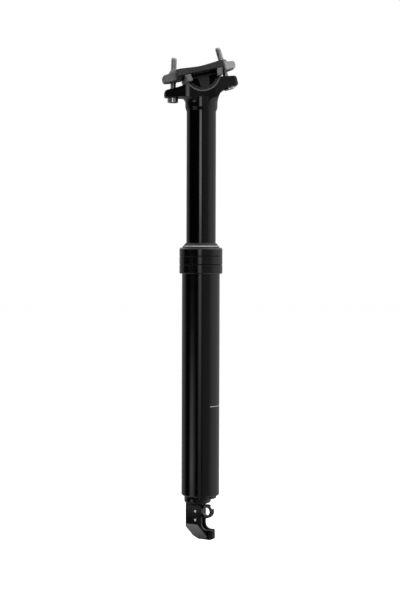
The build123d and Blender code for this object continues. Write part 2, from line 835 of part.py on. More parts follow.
# Head: the neck, the block that holds the round cradle, and the two ears
front_tip_floor = front_floor - front_across * front_ear_reach
front_tip_top = front_tip_floor + front_bolt_up * front_ear_thickness
front_ear_top = front_floor + front_across * front_ear_rise_reach + front_bolt_up * front_ear_rise
rear_tip_floor = rear_floor + rear_across * rear_ear_reach
rear_tip_top = rear_tip_floor + rear_bolt_up * rear_ear_thickness
front_root_drop = (front_floor.X + neck_radius) * tan(radians(front_bolt_lean))
rear_root_drop = (rear_floor.X - neck_radius) * tan(radians(-rear_bolt_lean))
cradle_front = (
    -cradle_radius * sin(radians(cradle_front_angle)),
    pivot_height - cradle_radius * cos(radians(cradle_front_angle)),
)
cradle_rear = (
    cradle_radius * sin(radians(cradle_rear_angle)),
    pivot_height - cradle_radius * cos(radians(cradle_rear_angle)),
)
ear_tip_place = max(-front_tip_floor.X, rear_tip_floor.X)
half_ear = ear_width / 2
half_head = head_width / 2
flare_level = neck_bottom + neck_flare_height
dome_radius = seat_dome_radius
with BuildPart() as seatpost_head:
    with BuildSketch(Plane.XZ):
        with BuildLine():
            FilletPolyline(
                (-neck_radius, neck_bottom),
                (neck_radius, neck_bottom),
                (neck_radius, rear_floor.Z - rear_root_drop),
                side_point(rear_tip_floor),
                side_point(rear_tip_top),
                cradle_rear,
                cradle_front,
                side_point(front_ear_top),
                side_point(front_tip_top),
                side_point(front_tip_floor),
                (-neck_radius, front_floor.Z + front_root_drop),
                radius=[
                    0,
                    0,
                    rear_ear_root_radius,
                    ear_corner_radius / 2,
                    ear_corner_radius,
                    0,
                    0,
                    ear_corner_radius,
                    ear_corner_radius,
                    ear_corner_radius,
                    front_ear_root_radius,
                ],
                close=True,
            )
        make_face()
    extrude(amount=half_head, both=True)
    with BuildSketch(Plane.XY.offset(neck_bottom)):
        with BuildLine():
            FilletPolyline(
                (-ear_tip_place, -half_ear),
                (-ear_shoulder, -half_head),
                (ear_shoulder, -half_head),
                (ear_tip_place, -half_ear),
                (ear_tip_place, half_ear),
                (ear_shoulder, half_head),
                (-ear_shoulder, half_head),
                (-ear_tip_place, half_ear),
                radius=[
                    ear_tip_radius,
                    ear_plan_radius,
                    ear_plan_radius,
                    ear_tip_radius,
                    ear_tip_radius,
                    ear_plan_radius,
                    ear_plan_radius,
                    ear_tip_radius,
                ],
                close=True,
            )
        make_face()
    extrude(amount=pivot_height - neck_bottom + cradle_radius, mode=Mode.INTERSECT)
    with BuildSketch(Plane.XZ):
        with BuildLine():
            FilletPolyline(
                (0, neck_bottom),
                (neck_radius, neck_bottom),
                (neck_radius, flare_level),
                (2 * ear_tip_place, flare_level),
                (2 * ear_tip_place, pivot_height + cradle_radius),
                (0, pivot_height + cradle_radius),
                radius=[0, 0, neck_flare_radius, 0, 0, 0],
                close=True,
            )
        make_face()
    revolve(axis=Axis.Z, mode=Mode.INTERSECT)
    with BuildSketch(Plane.XY.offset(neck_bottom)):
        Circle(neck_radius)
    extrude(amount=neck_flare_height)
    chamfer(
        seatpost_head.edges().group_by(Axis.Z)[0],
        length=neck_bevel_width,
        length2=neck_bevel_height,
        reference=seatpost_head.faces().sort_by(Axis.Z)[0],
    )
    with BuildSketch(clamp_side):
        Circle(cradle_radius)
    extrude(amount=head_width, both=True, mode=Mode.SUBTRACT)
    with BuildSketch(Plane.XY.offset(neck_bottom)):
        Circle(post_radius + seat_gap)
        Circle(post_bore_radius - seat_gap, mode=Mode.SUBTRACT)
        Circle(rod_radius + seat_gap)
    extrude(amount=socket_depth, mode=Mode.SUBTRACT)
    for seat, up in ((front_seat, front_bolt_up), (rear_seat, rear_bolt_up)):
        with BuildSketch(Plane(origin=seat, x_dir=(0, 1, 0), z_dir=up)):
            SlotCenterToCenter(ear_hole_stretch, 2 * ear_hole_radius, rotation=90)
        extrude(amount=2 * rear_ear_thickness, both=True, mode=Mode.SUBTRACT)
        with BuildSketch(Plane(origin=seat, x_dir=(0, 1, 0), z_dir=-up)):
            Circle(spot_face_radius)
        extrude(amount=rear_ear_thickness, mode=Mode.SUBTRACT)
        with BuildSketch(Plane(origin=seat - up * seat_dome_drop, x_dir=(0, 1, 0), z_dir=(1, 0, 0))):
            with BuildLine():
                Line((0, 0), (0, seat_dome_radius))
                CenterArc((0, 0), seat_dome_radius, 0, 90)
                Line((seat_dome_radius, 0), (0, 0))
            make_face()
        dome_axis = Axis(seat, up)
        revolve(axis=dome_axis, mode=Mode.SUBTRACT)
save(seatpost_head, "seatpost_head")

# Lower clamp: a half moon that rocks in the cradle, with two cross bars that carry the rails
moon_radius = cradle_radius - running_gap
rim_inner = moon_radius - lower_clamp_rim
bar_floor = -lower_clamp_chord - lower_clamp_bar
finger_floor = -finger_top_drop - finger_height
half_finger = finger_width / 2
half_moon = lower_clamp_width / 2
rail_places = (-rail_spacing / 2, rail_spacing / 2)
with BuildPart() as lower_clamp:
    with BuildSketch(clamp_side):
        Circle(moon_radius)
        with Locations((0, moon_radius - lower_clamp_chord)):
            Rectangle(2 * moon_radius, 2 * moon_radius, mode=Mode.SUBTRACT)
    extrude(amount=half_moon, both=True)
    for side in (-1, 1):
        with BuildSketch(clamp_side.offset(side * half_moon)):
            Circle(rim_inner)
            with Locations((0, moon_radius + bar_floor)):
                Rectangle(2 * moon_radius, 2 * moon_radius, mode=Mode.SUBTRACT)
            Polygon(
                (-rib_top_width / 2, bar_floor),
                (rib_top_width / 2, bar_floor),
                (rib_foot_width / 2, -moon_radius),
                (-rib_foot_width / 2, -moon_radius),
                align=None,
                mode=Mode.SUBTRACT,
            )
        extrude(amount=-side * (half_moon - lower_clamp_web / 2), mode=Mode.SUBTRACT)
    with BuildSketch(clamp_side):
        for side in (-1, 1):
            Polygon(
                (side * (finger_place - half_finger), -finger_top_drop),
                (side * (finger_place + half_finger), -finger_top_drop),
                (side * (finger_place + half_finger - finger_lean), finger_floor),
                (side * (finger_place - half_finger - finger_lean), finger_floor),
                align=None,
            )
    extrude(amount=clamp_half_width, both=True)
    with BuildSketch(clamp_side):
        Circle(2 * moon_radius)
        Circle(moon_radius, mode=Mode.SUBTRACT)
    extrude(amount=half_head + passing_gap, both=True, mode=Mode.SUBTRACT)
    rail_plane = Plane(origin=clamp_pivot, x_dir=(0, 1, 0), z_dir=rail_direction)
    with BuildSketch(rail_plane):
        for rail_place in rail_places:
            with Locations((rail_place, 0)):
                Circle(rail_radius)
    extrude(amount=upper_clamp_half_length, both=True, mode=Mode.SUBTRACT)
save(lower_clamp, "lower_clamp")

# Upper clamp: a plate with two wings over the rails and a nose at each end for a barrel nut
nut_clear = nut_radius + running_gap
bolt_slot_half = nut_height * tan(radians(2 * rail_slope)) + bolt_radius + 2 * passing_gap
with BuildPart() as upper_clamp:
    with BuildSketch(upper_side):
        with BuildLine():
            FilletPolyline(
                (-upper_clamp_half_length, nose_tip_floor),
                (-nose_root, nose_floor),
                (-nose_root + upper_clamp_lip - nose_floor, upper_clamp_lip),
                (nose_root - upper_clamp_lip + nose_floor, upper_clamp_lip),
                (nose_root, nose_floor),
                (upper_clamp_half_length, nose_tip_floor),
                (upper_clamp_half_length, nose_top),
                (upper_clamp_shoulder_place, upper_clamp_shoulder),
                (0, upper_clamp_crown),
                (-upper_clamp_shoulder_place, upper_clamp_shoulder),
                (-upper_clamp_half_length, nose_top),
                radius=[
                    nose_tip_radius,
                    wing_corner_radius,
                    wing_corner_radius / 2,
                    wing_corner_radius / 2,
                    wing_corner_radius,
                    nose_tip_radius,
                    nose_tip_radius,
                    nut_place,
                    2 * upper_clamp_half_length,
                    nut_place,
                    nose_tip_radius,
                ],
                close=True,
            )
        make_face()
    extrude(amount=clamp_half_width, both=True)
    with BuildSketch(upper_plan.offset(-rail_radius)):
        with BuildLine():
            FilletPolyline(
                (-upper_clamp_half_length, -nose_half_width),
                (-flank_place, -flank_width),
                (-wing_half_length, -clamp_half_width),
                (wing_half_length, -clamp_half_width),
                (flank_place, -flank_width),
                (upper_clamp_half_length, -nose_half_width),
                (upper_clamp_half_length, nose_half_width),
                (flank_place, flank_width),
                (wing_half_length, clamp_half_width),
                (-wing_half_length, clamp_half_width),
                (-flank_place, flank_width),
                (-upper_clamp_half_length, nose_half_width),
                radius=[
                    nose_plan_radius,
                    nose_plan_radius,
                    wing_corner_radius,
                    wing_corner_radius,
                    nose_plan_radius,
                    nose_plan_radius,
                    nose_plan_radius,
                    nose_plan_radius,
                    wing_corner_radius,
                    wing_corner_radius,
                    nose_plan_radius,
                    nose_plan_radius,
                ],
                close=True,
            )
        make_face()
    extrude(amount=2 * nut_height + rail_radius, mode=Mode.INTERSECT)
    with BuildSketch(rail_plane):
        for rail_place in rail_places:
            with Locations((rail_place, 0)):
                Circle(rail_radius)
    extrude(amount=2 * upper_clamp_half_length, both=True, mode=Mode.SUBTRACT)
    with BuildSketch(upper_side):
        with Locations((-nut_place, nut_height), (nut_place, nut_height)):
            Circle(nut_clear)
        with Locations((-nut_place, nut_height + nut_clear), (nut_place, nut_height + nut_clear)):
            Rectangle(2 * nut_clear, 2 * nut_clear)
    extrude(amount=nut_length / 2 + passing_gap, both=True, mode=Mode.SUBTRACT)
    with BuildSketch(upper_plan.offset(nose_floor - overrun)):
        with Locations((-nut_place, 0), (nut_place, 0)):
            SlotOverall(2 * bolt_slot_half, 2 * (bolt_radius + passing_gap))
    extrude(amount=nut_height + overrun - nose_floor, mode=Mode.SUBTRACT)
    with BuildSketch(upper_plan):
        RectangleRounded(
            2 * underside_pocket_half_length,
            2 * underside_pocket_half_width,
            nose_radius,
        )
    extrude(amount=underside_pocket_depth, mode=Mode.SUBTRACT)
save(upper_clamp, "upper_clamp")

# Barrel nuts, each turned to the slope of its bolt
for nut_name, nut_centre, up in (
    ("front_barrel_nut", front_nut_centre, front_bolt_up),
    ("rear_barrel_nut", rear_nut_centre, rear_bolt_up),
):
    with BuildPart() as barrel_nut:
        with BuildSketch(Plane(origin=nut_centre, x_dir=rail_direction, z_dir=(0, -1, 0))):
            Circle(nut_radius)
        extrude(amount=nut_length / 2, both=True)
        chamfer(barrel_nut.edges().filter_by(GeomType.CIRCLE), nut_bevel)
        with BuildSketch(Plane(origin=nut_centre, x_dir=(0, 1, 0), z_dir=up)):
            Circle(bolt_radius + thread_gap)
        extrude(amount=2 * nut_radius, both=True, mode=Mode.SUBTRACT)
    save(barrel_nut, nut_name)

# Clamp bolts from below, and the domed washers under their heads
dome_inner = seat_dome_radius - running_gap
for bolt_end, seat, nut_centre, up, tip_length in (
    ("front", front_seat, front_nut_centre, front_bolt_up, front_bolt_end),
    ("rear", rear_seat, rear_nut_centre, rear_bolt_up, rear_bolt_end),
):
    head_top = seat - up * washer_sink
    head_bottom = head_top - up * bolt_head_height
    shank_length = (nut_centre - head_top).length + tip_length
    with BuildPart() as clamp_bolt:
        with BuildSketch(Plane(origin=head_bottom, x_dir=(0, 1, 0), z_dir=up)):
            Circle(bolt_head_radius)
        extrude(amount=bolt_head_height)
        with BuildSketch(Plane(origin=head_top, x_dir=(0, 1, 0), z_dir=up)):
            Circle(bolt_radius)
        extrude(amount=shank_length)
        bolt_rims = clamp_bolt.edges().filter_by(GeomType.CIRCLE).sort_by(Axis(seat, up))
        chamfer([bolt_rims[0], bolt_rims[-1]], bolt_bevel)
        with BuildSketch(Plane(origin=head_bottom, x_dir=(0, 1, 0), z_dir=up)):
            RegularPolygon(bolt_socket_width / 2, 6, major_radius=False)
        extrude(amount=bolt_socket_depth, mode=Mode.SUBTRACT)
    save(clamp_bolt, bolt_end + "_clamp_bolt")
    dome_centre = seat - up * seat_dome_drop
    washer_floor = seat_dome_drop - washer_sink
    with BuildPart() as dome_washer:
        with BuildSketch(Plane(origin=dome_centre, x_dir=(0, 1, 0), z_dir=(1, 0, 0))):
            with BuildLine():
                Line((0, 0), (0, dome_inner))
                CenterArc((0, 0), dome_inner, 0, 90)
                Line((dome_inner, 0), (0, 0))
            make_face()
        revolve(axis=Axis(seat, up))
        with BuildSketch(Plane(origin=dome_centre + up * washer_floor, x_dir=(0, 1, 0), z_dir=up)):
            Circle(washer_radius)
            Circle(bolt_radius + running_gap, mode=Mode.SUBTRACT)
        extrude(amount=dome_inner, mode=Mode.INTERSECT)
    save(dome_washer, bolt_end + "_dome_washer")
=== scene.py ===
import math

import bpy
from mathutils import Matrix, Vector


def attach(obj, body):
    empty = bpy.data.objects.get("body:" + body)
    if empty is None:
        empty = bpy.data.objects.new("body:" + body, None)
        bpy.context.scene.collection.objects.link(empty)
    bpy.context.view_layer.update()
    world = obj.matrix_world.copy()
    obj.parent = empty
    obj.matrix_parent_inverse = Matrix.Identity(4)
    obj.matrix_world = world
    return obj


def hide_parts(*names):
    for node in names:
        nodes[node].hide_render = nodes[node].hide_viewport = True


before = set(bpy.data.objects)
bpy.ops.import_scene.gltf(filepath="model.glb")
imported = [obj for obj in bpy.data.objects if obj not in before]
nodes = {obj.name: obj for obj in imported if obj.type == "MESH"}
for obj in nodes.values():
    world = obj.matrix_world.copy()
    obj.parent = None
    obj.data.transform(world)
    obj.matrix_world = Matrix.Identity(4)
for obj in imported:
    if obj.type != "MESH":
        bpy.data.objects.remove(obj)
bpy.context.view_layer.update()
scene = bpy.context.scene
scene.view_settings.view_transform = "Standard"

# Camera: level, at the height of the collar's top, and turned slightly towards the saddle's
# nose. It stands 1.2 m away, and its frame is shifted down so that the foot stays in the picture.
camera_turn = math.radians(-4.0)
camera_roll = math.radians(0.17)
camera_level = math.radians(90.0)
camera_distance = 1.2
camera_height = 0.0215
camera_side_step = -0.0008
to_camera = Vector((math.sin(camera_turn), -math.cos(camera_turn), 0.0))
screen_right = Vector((math.cos(camera_turn), math.sin(camera_turn), 0.0))
camera_data = bpy.data.cameras.new("camera")
camera_data.lens = 86.0
camera_data.sensor_width = 36.0
camera_data.shift_y = -0.0868
camera_data.dof.use_dof = False
camera = bpy.data.objects.new("camera", camera_data)
scene.collection.objects.link(camera)
camera.location = to_camera * camera_distance + screen_right * camera_side_step
camera.location.z = camera_height
camera.rotation_mode = "QUATERNION"
camera.rotation_quaternion = (
    Matrix.Rotation(camera_turn, 3, "Z")
    @ Matrix.Rotation(camera_level, 3, "X")
    @ Matrix.Rotation(camera_roll, 3, "Z")
).to_quaternion()
scene.camera = camera

# Studio: a white surround for the eye and for glass. What polished metal mirrors is a real
# studio's set of pale cards and dark flags, which stand round the post at fixed bearings.
# Bearings are in degrees from the camera, right positive; heights go from 0, straight down, to 1.
card_bearings = (
    (-180.0, 0.12), (-170.0, 0.2), (-160.0, 0.32), (-149.0, 0.52), (-131.0, 0.45), (-118.0, 0.42),
    (-107.0, 0.28), (-99.0, 0.02), (-88.0, 0.005), (-20.0, 0.005), (7.0, 0.06), (14.0, 0.26),
    (50.0, 0.32), (62.0, 0.56), (76.0, 0.84), (90.0, 0.92), (106.0, 0.79), (125.0, 0.76),
    (141.0, 0.62), (151.0, 0.48), (160.0, 0.32), (170.0, 0.2), (180.0, 0.12),
)
strip_bearings = (
    (-180.0, 0.0), (-17.0, 0.0), (-10.0, 0.9), (-3.0, 1.0), (2.0, 0.75), (5.0, 0.0), (180.0, 0.0),
)
strip_heights = (
    (0.0, 0.0), (0.4, 0.05), (0.42, 0.09), (0.441, 0.14), (0.482, 0.38), (0.503, 0.36),
    (0.511, 0.55), (0.517, 1.0), (0.5495, 1.0), (0.5525, 0.4), (0.62, 0.4), (0.75, 0.0), (1.0, 0.0),
)
low_bearings = (
    (-180.0, 0.0), (-76.0, 0.0), (-70.0, 0.12), (-64.0, 0.7), (-57.0, 1.0), (-50.0, 0.95),
    (-44.0, 0.65), (-38.0, 0.3), (-32.0, 0.1), (-26.0, 0.0), (180.0, 0.0),
)
low_heights = (
    (0.0, 0.05), (0.25, 0.06), (0.337, 0.0), (0.342, 0.5), (0.36, 0.5), (0.365, 0.0),
    (0.4115, 0.0), (0.4145, 0.15), (0.43, 0.115), (0.455, 0.05), (0.468, 0.008), (0.49, 0.0),
    (1.0, 0.0),
)
overhead_heights = ((0.0, 0.0), (0.55, 0.0), (0.7, 0.45), (0.9, 1.0), (1.0, 1.0))
strip_strength = 4.2
low_strength = 16.0
overhead_strength = 1.3
room_strength = 0.55
white = (1.0, 1.0, 1.0, 1.0)


def math_node(tree, kind, first, second=None):
    """A Math node fed by sockets or plain numbers; returns its output."""
    node = tree.nodes.new("ShaderNodeMath")
    node.operation = kind
    for place, value in enumerate((first, second)):
        if value is None:
            continue
        if isinstance(value, (int, float)):
            node.inputs[place].default_value = value
        else:
            tree.links.new(value, node.inputs[place])
    return node.outputs[0]


def ramp_node(tree, stops, source):
    """A grey Color Ramp with (place, level) stops; returns its output."""
    node = tree.nodes.new("ShaderNodeValToRGB")
    ramp = node.color_ramp
    ramp.interpolation = "LINEAR"
    ends = (ramp.elements[0], stops[0]), (ramp.elements[1], stops[-1])
    for stop, (place, level) in ends:
        stop.position = place
        stop.color = (level, level, level, 1.0)
    for place, level in stops[1:-1]:
        stop = ramp.elements.new(place)
        stop.color = (level, level, level, 1.0)
    tree.links.new(source, node.inputs[0])
    return node.outputs[0]


def bearing_ramp(tree, bearings, turn_share):
    """A grey ramp over the bearings, which it turns into shares of a full turn."""
    stops = [((degrees + 180.0) / 360.0, level) for degrees, level in bearings]
    return ramp_node(tree, stops, turn_share)


def seen_or_through(tree):
    """One for what the eye sees itself or through glass, and nought for every other ray."""
    path = tree.nodes.new("ShaderNodeLightPath")
    return math_node(tree, "MAXIMUM", path.outputs["Is Camera Ray"],
                     path.outputs["Is Transmission Ray"])


world = bpy.data.worlds.new("studio")
scene.world = world
world.use_nodes = True
tree = world.node_tree
tree.nodes.clear()
ray = tree.nodes.new("ShaderNodeTexCoord").outputs["Generated"]
towards = []
for direction in (screen_right, to_camera):
    dot = tree.nodes.new("ShaderNodeVectorMath")
    dot.operation = "DOT_PRODUCT"
    tree.links.new(ray, dot.inputs[0])
    dot.inputs[1].default_value = direction
    towards.append(dot.outputs["Value"])
split = tree.nodes.new("ShaderNodeSeparateXYZ")
tree.links.new(ray, split.inputs[0])
height = split.outputs["Z"]
bearing = math_node(tree, "ARCTAN2", towards[0], towards[1])
turn_share = math_node(tree, "ADD", math_node(tree, "DIVIDE", bearing, 2 * math.pi), 0.5)
height_share = math_node(tree, "ADD", math_node(tree, "MULTIPLY", height, 0.5), 0.5)
mirrored = bearing_ramp(tree, card_bearings, turn_share)
for bearings, heights, strength in ((strip_bearings, strip_heights, strip_strength),
                                    (low_bearings, low_heights, low_strength)):
    card = math_node(tree, "MULTIPLY", bearing_ramp(tree, bearings, turn_share),
                     ramp_node(tree, heights, height_share))
    mirrored = math_node(tree, "ADD", mirrored, math_node(tree, "MULTIPLY", card, strength))
overhead = ramp_node(tree, overhead_heights, height_share)
mirrored = math_node(tree, "ADD", mirrored,
                     math_node(tree, "MULTIPLY", overhead, overhead_strength))
room = tree.nodes.new("ShaderNodeBackground")
room.inputs["Color"].default_value = white
room.inputs["Strength"].default_value = room_strength
surround = tree.nodes.new("ShaderNodeBackground")
surround.inputs["Color"].default_value = white
surround.inputs["Strength"].default_value = 1.0
card_set = tree.nodes.new("ShaderNodeBackground")
tree.links.new(mirrored, card_set.inputs["Strength"])
glossy_ray = tree.nodes.new("ShaderNodeLightPath").outputs["Is Glossy Ray"]
for_metal = tree.nodes.new("ShaderNodeMixShader")
tree.links.new(glossy_ray, for_metal.inputs[0])
tree.links.new(room.outputs[0], for_metal.inputs[1])
tree.links.new(card_set.outputs[0], for_metal.inputs[2])
for_eye = tree.nodes.new("ShaderNodeMixShader")
tree.links.new(seen_or_through(tree), for_eye.inputs[0])
tree.links.new(for_metal.outputs[0], for_eye.inputs[1])
tree.links.new(surround.outputs[0], for_eye.inputs[2])
world_output = tree.nodes.new("ShaderNodeOutputWorld")
tree.links.new(for_eye.outputs[0], world_output.inputs["Surface"])

# Lamps: three soft boxes on stands, a broad one overhead and one to each side of the camera.
# All of them face the post, and polished metal doesn't mirror them. Each has its name, its
# place, its width and its power in watts.
lamps = (
    ("top_lamp", (0.1, -0.2, 1.1), 0.9, 7.0),
    ("right_lamp", (0.9, -0.9, 0.4), 0.8, 9.0),
    ("left_lamp", (-0.9, -0.8, 0.3), 0.8, 4.0),
)
for lamp_name, lamp_place, lamp_width, lamp_power in lamps:
    lamp_data = bpy.data.lights.new(lamp_name, "AREA")
    lamp_data.size = lamp_width
    lamp_data.energy = lamp_power
    lamp = bpy.data.objects.new(lamp_name, lamp_data)
    scene.collection.objects.link(lamp)
    lamp.location = lamp_place
    lamp.rotation_mode = "QUATERNION"
    lamp.rotation_quaternion = Vector(lamp_place).to_track_quat("Z", "Y")
    lamp.visible_glossy = False

# Floor: a plain pale sheet a little below the post's foot, lying loose under it. It is white to
# the eye and still takes the post's shadow.
floor_level = -0.262
floor_half_size = 6.0
floor_grey = 0.8
floor_glow_strength = 0.55
floor_corners = [(-1, -1), (1, -1), (1, 1), (-1, 1)]
floor_mesh = bpy.data.meshes.new("floor")
floor_mesh.from_pydata(
    [(x * floor_half_size, y * floor_half_size, floor_level) for x, y in floor_corners],
    [],
    [(0, 1, 2, 3)],
)
floor = bpy.data.objects.new("floor", floor_mesh)
scene.collection.objects.link(floor)
floor.visible_glossy = False
floor_paper = bpy.data.materials.new("floor")
floor_paper.use_nodes = True
tree = floor_paper.node_tree
tree.nodes.clear()
floor_sheet = tree.nodes.new("ShaderNodeBsdfDiffuse")
floor_sheet.inputs["Color"].default_value = (floor_grey, floor_grey, floor_grey, 1.0)
floor_glow = tree.nodes.new("ShaderNodeEmission")
floor_glow.inputs["Color"].default_value = white
tree.links.new(math_node(tree, "MULTIPLY", seen_or_through(tree), floor_glow_strength),
               floor_glow.inputs["Strength"])
floor_sum = tree.nodes.new("ShaderNodeAddShader")
tree.links.new(floor_sheet.outputs[0], floor_sum.inputs[0])
tree.links.new(floor_glow.outputs[0], floor_sum.inputs[1])
floor_output = tree.nodes.new("ShaderNodeOutputMaterial")
tree.links.new(floor_sum.outputs[0], floor_output.inputs["Surface"])
floor_mesh.materials.append(floor_paper)

# Lower tube: drawn aluminium, polished and hard anodised a glossy black, with fine draw lines
# along it. The collar screws on its top and the frame's seat tube holds it. A thin printed line
# on its right side shows how deep it has to stand in the frame.
insertion_mark_depth = 0.110
insertion_mark_width = 0.0004
insertion_mark_start = 0.0071
insertion_mark_grey = 0.45
coat_ior = 1.5
grain_detail = 4.0
bump_strength = 0.5
cloud_scale = 60.0
cloud_detail = 6.0
cloud_low, cloud_high = 0.3, 0.7
worn_stops = ((0.0, 0.0), (0.58, 0.0), (0.75, 1.0), (1.0, 1.0))
edge_samples = 4
# Painted shade: in recesses and near corners, ambient occlusion lowers the specular level.
recess_samples = 8
recess_shade_stops = ((0.0, 0.05), (0.45, 0.1), (0.8, 0.5), (1.0, 0.5))


def coated_metal(name, colour, roughness, unevenness, grain_size, grain_height, stretch=1.0,
                 wear_level=0.0, wear_colour=(0.05, 0.05, 0.05), edge_width=0.0, metallic=0.0,
                 recess_reach=0.0):
    """A coat on metal: uneven gloss, a fine grain and, if asked, paler worn patches.

    A stretch under one draws the grain out along the post, and one over it round the post.
    edge_width softens the edges, and recess_reach paints shade into near corners by dulling their
    shine.
    """
    coat = bpy.data.materials.new(name)
    coat.use_nodes = True
    tree = coat.node_tree
    shader = tree.nodes["Principled BSDF"]
    shader.inputs["Metallic"].default_value = metallic
    shader.inputs["IOR"].default_value = coat_ior
    place = tree.nodes.new("ShaderNodeTexCoord").outputs["Object"]
    drawn = tree.nodes.new("ShaderNodeMapping")
    drawn.inputs["Scale"].default_value = (1.0, 1.0, stretch)
    tree.links.new(place, drawn.inputs["Vector"])
    grain = tree.nodes.new("ShaderNodeTexNoise")
    grain.inputs["Scale"].default_value = 1.0 / grain_size
    grain.inputs["Detail"].default_value = grain_detail
    tree.links.new(drawn.outputs[0], grain.inputs["Vector"])
    cloud = tree.nodes.new("ShaderNodeTexNoise")
    cloud.inputs["Scale"].default_value = cloud_scale
    cloud.inputs["Detail"].default_value = cloud_detail
    tree.links.new(place, cloud.inputs["Vector"])
    gloss = tree.nodes.new("ShaderNodeMapRange")
    gloss.inputs["From Min"].default_value = cloud_low
    gloss.inputs["From Max"].default_value = cloud_high
    gloss.inputs["To Min"].default_value = roughness - unevenness
    gloss.inputs["To Max"].default_value = roughness + unevenness
    tree.links.new(cloud.outputs["Fac"], gloss.inputs["Value"])
    tree.links.new(gloss.outputs[0], shader.inputs["Roughness"])
    bump = tree.nodes.new("ShaderNodeBump")
    bump.inputs["Strength"].default_value = bump_strength
    bump.inputs["Distance"].default_value = grain_height
    tree.links.new(grain.outputs["Fac"], bump.inputs["Height"])
    if edge_width:
        rounded = tree.nodes.new("ShaderNodeBevel")
        rounded.samples = edge_samples
        rounded.inputs["Radius"].default_value = edge_width
        tree.links.new(rounded.outputs[0], bump.inputs["Normal"])
    tree.links.new(bump.outputs[0], shader.inputs["Normal"])
    patch = tree.nodes.new("ShaderNodeMix")
    patch.data_type = "RGBA"
    patch.inputs["A"].default_value = (*colour, 1.0)
    patch.inputs["B"].default_value = (*wear_colour, 1.0)
    worn = ramp_node(tree, worn_stops, cloud.outputs["Fac"])
    tree.links.new(math_node(tree, "MULTIPLY", worn, wear_level), patch.inputs["Factor"])
    tree.links.new(patch.outputs["Result"], shader.inputs["Base Color"])
    # Painted shade: the specular level drops where ambient occlusion finds near surfaces.
    if recess_reach:
        open_share = tree.nodes.new("ShaderNodeAmbientOcclusion")
        open_share.samples = recess_samples
        open_share.inputs["Distance"].default_value = recess_reach
        gleam = ramp_node(tree, recess_shade_stops, open_share.outputs["AO"])
        tree.links.new(gleam, shader.inputs["Specular IOR Level"])
    return coat


def pale_where(coat, share, grey):
    """Let the coat turn to that grey where share is one."""
    tree = coat.node_tree
    shader = tree.nodes["Principled BSDF"]
    mix = tree.nodes.new("ShaderNodeMix")
    mix.data_type = "RGBA"
    mix.inputs["B"].default_value = (grey, grey, grey, 1.0)
    tree.links.new(share, mix.inputs["Factor"])
    tree.links.new(shader.inputs["Base Color"].links[0].from_socket, mix.inputs["A"])
    tree.links.new(mix.outputs["Result"], shader.inputs["Base Color"])


def piece_spot(tree):
    """The sockets X, Y and Z of a point on the piece, in metres in the post's own frame."""
    spot = tree.nodes.new("ShaderNodeSeparateXYZ")
    tree.links.new(tree.nodes.new("ShaderNodeTexCoord").outputs["Object"], spot.inputs[0])
    return spot.outputs


def dress(coat, *names):
    """Give these CAD pieces that coat in place of the frame's plain one."""
    for name in names:
        for place in nodes[name].material_slots:
            place.material = coat


lower_tube_coat = coated_metal("lower_tube_coat", (0.0008, 0.0008, 0.0009), roughness=0.13,
                               unevenness=0.02, grain_size=0.0004, grain_height=0.000004,
                               stretch=0.2)
tree = lower_tube_coat.node_tree
tube_spot = piece_spot(tree)
mark_height = math_node(tree, "ADD", tube_spot["Z"], insertion_mark_depth)
mark_line = math_node(tree, "LESS_THAN", math_node(tree, "ABSOLUTE", mark_height),
                      insertion_mark_width / 2)
mark_side = math_node(tree, "GREATER_THAN", tube_spot["X"], insertion_mark_start)
pale_where(lower_tube_coat, math_node(tree, "MULTIPLY", mark_line, mark_side),
           insertion_mark_grey)
dress(lower_tube_coat, "lower_tube")

# Upper tube: drawn aluminium, ground and polished so that it slides in the bushings, and hard
# anodised the glossiest black of all. Its top is pressed and bonded into the head.
upper_tube_coat = coated_metal("upper_tube_coat", (0.0005, 0.0005, 0.0006), roughness=0.1,
                               unevenness=0.02, grain_size=0.0004, grain_height=0.000003,
                               stretch=0.1)
dress(upper_tube_coat, "upper_tube")

# Collar, lock ring and actuator base: turned from aluminium bar and black anodised, a little
# less glossy than the tubes, with the lathe's fine rings. The collar screws on the lower tube, the
# lock ring in its foot, and the base on the cartridge's nipple.
turned_coat = coated_metal("turned_coat", (0.001, 0.001, 0.0011), roughness=0.16,
                           unevenness=0.03, grain_size=0.0003, grain_height=0.000005,
                           stretch=6.0, edge_width=0.0002)
dress(turned_coat, "seal_collar", "lock_ring", "actuator_base")

# Head and cable lever: forged aluminium, bead blasted and black anodised, with a slight wear.
# The head is bonded to the upper tube, and the lever turns on its pin in the bracket.
forged_coat = coated_metal("forged_coat", (0.0012, 0.0012, 0.0013), roughness=0.13,
                           unevenness=0.04, grain_size=0.00025, grain_height=0.000006,
                           wear_level=0.2, edge_width=0.0004)
dress(forged_coat, "seatpost_head", "cable_lever")

# Actuator bracket: a forged aluminium clevis whose foot hooks forward to hold the cable's
# housing, black anodised over smooth, glossy faces. A spigot on its top stands in the base.
bracket_shine = 0.35
bracket_coat = coated_metal("bracket_coat", (0.0012, 0.0012, 0.0013), roughness=0.06,
                            unevenness=0.02, grain_size=0.00025, grain_height=0.000006,
                            wear_level=0.2, edge_width=0.0004)
bracket_shader = bracket_coat.node_tree.nodes["Principled BSDF"]
bracket_shader.inputs["Specular IOR Level"].default_value = bracket_shine
dress(bracket_coat, "actuator_bracket")

# Clamp halves: forged aluminium with a thin, dull black coat, pulled together over the rails by
# two bolts. The upper half's noses carry a painted highlight, pale grey where the overhead light
# catches them and paler on the rear nose than the front. The ends of the lower half's fingers are
# painted a paler grey, and a thin painted highlight runs along the rim that rocks in the head's
# cradle.
clamp_pivot_height = 0.1666
rail_slope = math.radians(12.5)
# Painted highlight: past nose_start the upper half's noses fade to a pale grey, the rear nose paler
# than the front.
nose_middle = -0.002
nose_start = 0.0195
nose_fade = 0.0025
front_nose_sheen_grey = 0.1
rear_nose_sheen_grey = 0.22
# The ends of the lower half's fingers are painted a paler grey.
finger_start = 0.0105
finger_side = 0.022
finger_grey = 0.1
# Painted highlight: a thin pale line, rim_width wide, along the lower half's rim.
rim_radius = 0.0147
rim_width = 0.0006
rim_highlight_grey = 0.08


